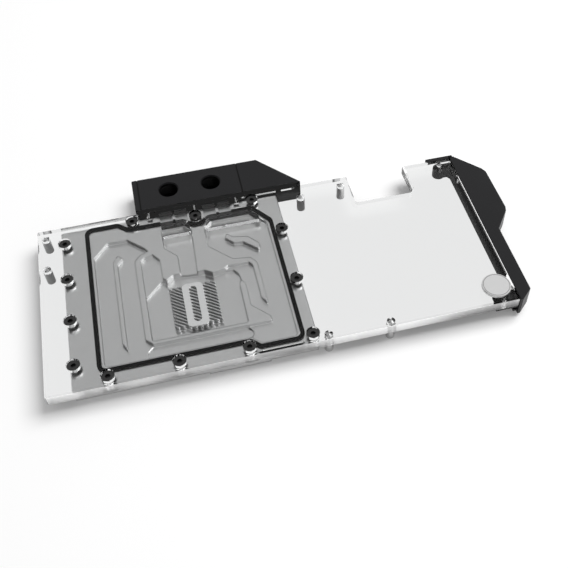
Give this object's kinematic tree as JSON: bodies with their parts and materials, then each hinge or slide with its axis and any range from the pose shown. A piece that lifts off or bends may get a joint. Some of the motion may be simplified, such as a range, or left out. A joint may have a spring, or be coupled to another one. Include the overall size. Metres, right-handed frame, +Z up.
{
  "type": "liquid cooling block for a graphics card",
  "caption": "Full-cover liquid cooling block with a clear machined top plate, metal cold plate with milled channels and fins, black port block and lit end cover.",
  "frame": {"origin": "centre of the footprint, at the height of the stand-offs' ends and the port block's underside", "axes": "+X along the block towards the end cover, +Y towards the port block, +Z up through the clear plate"},
  "size_m": [0.2704, 0.1448, 0.0165],
  "materials": {
    "clear_acrylic": "clear polished acrylic",
    "plated_copper": "satin nickel plate",
    "steel_sheet": "plain sheet",
    "black_rubber": "matte",
    "black_acetal": "machined satin",
    "plated_screw": "bright plate",
    "plated_brass": "nickel plated",
    "black_cover": "fine satin",
    "circuit_board": "solder mask",
    "white_lamp": "clear lens",
    "white_diffuser": "milky",
    "pale_badge": "satin"
  },
  "bodies": {
    "root": {"top_plate": "clear_acrylic", "cold_plate": "plated_copper", "jet_plate": "steel_sheet", "main_seal": "black_rubber", "port_block": "black_acetal", "inlet_seal": "black_rubber", "outlet_seal": "black_rubber", "port_block_screws": "plated_screw", "clamp_screws_left": "plated_screw", "clamp_screws_front": "plated_screw", "clamp_screws_right": "plated_screw", "clamp_screws_back": "plated_screw", "standoffs_left": "plated_brass", "standoffs_middle": "plated_brass", "standoffs_front": "plated_brass", "end_cover": "black_cover", "light_housing": "black_cover", "light_board": "circuit_board", "light_diodes": "white_lamp", "light_guide": "white_diffuser", "lug_screws": "plated_screw", "cover_screws": "plated_screw", "badge": "pale_badge"}
  },
  "joints": []
}
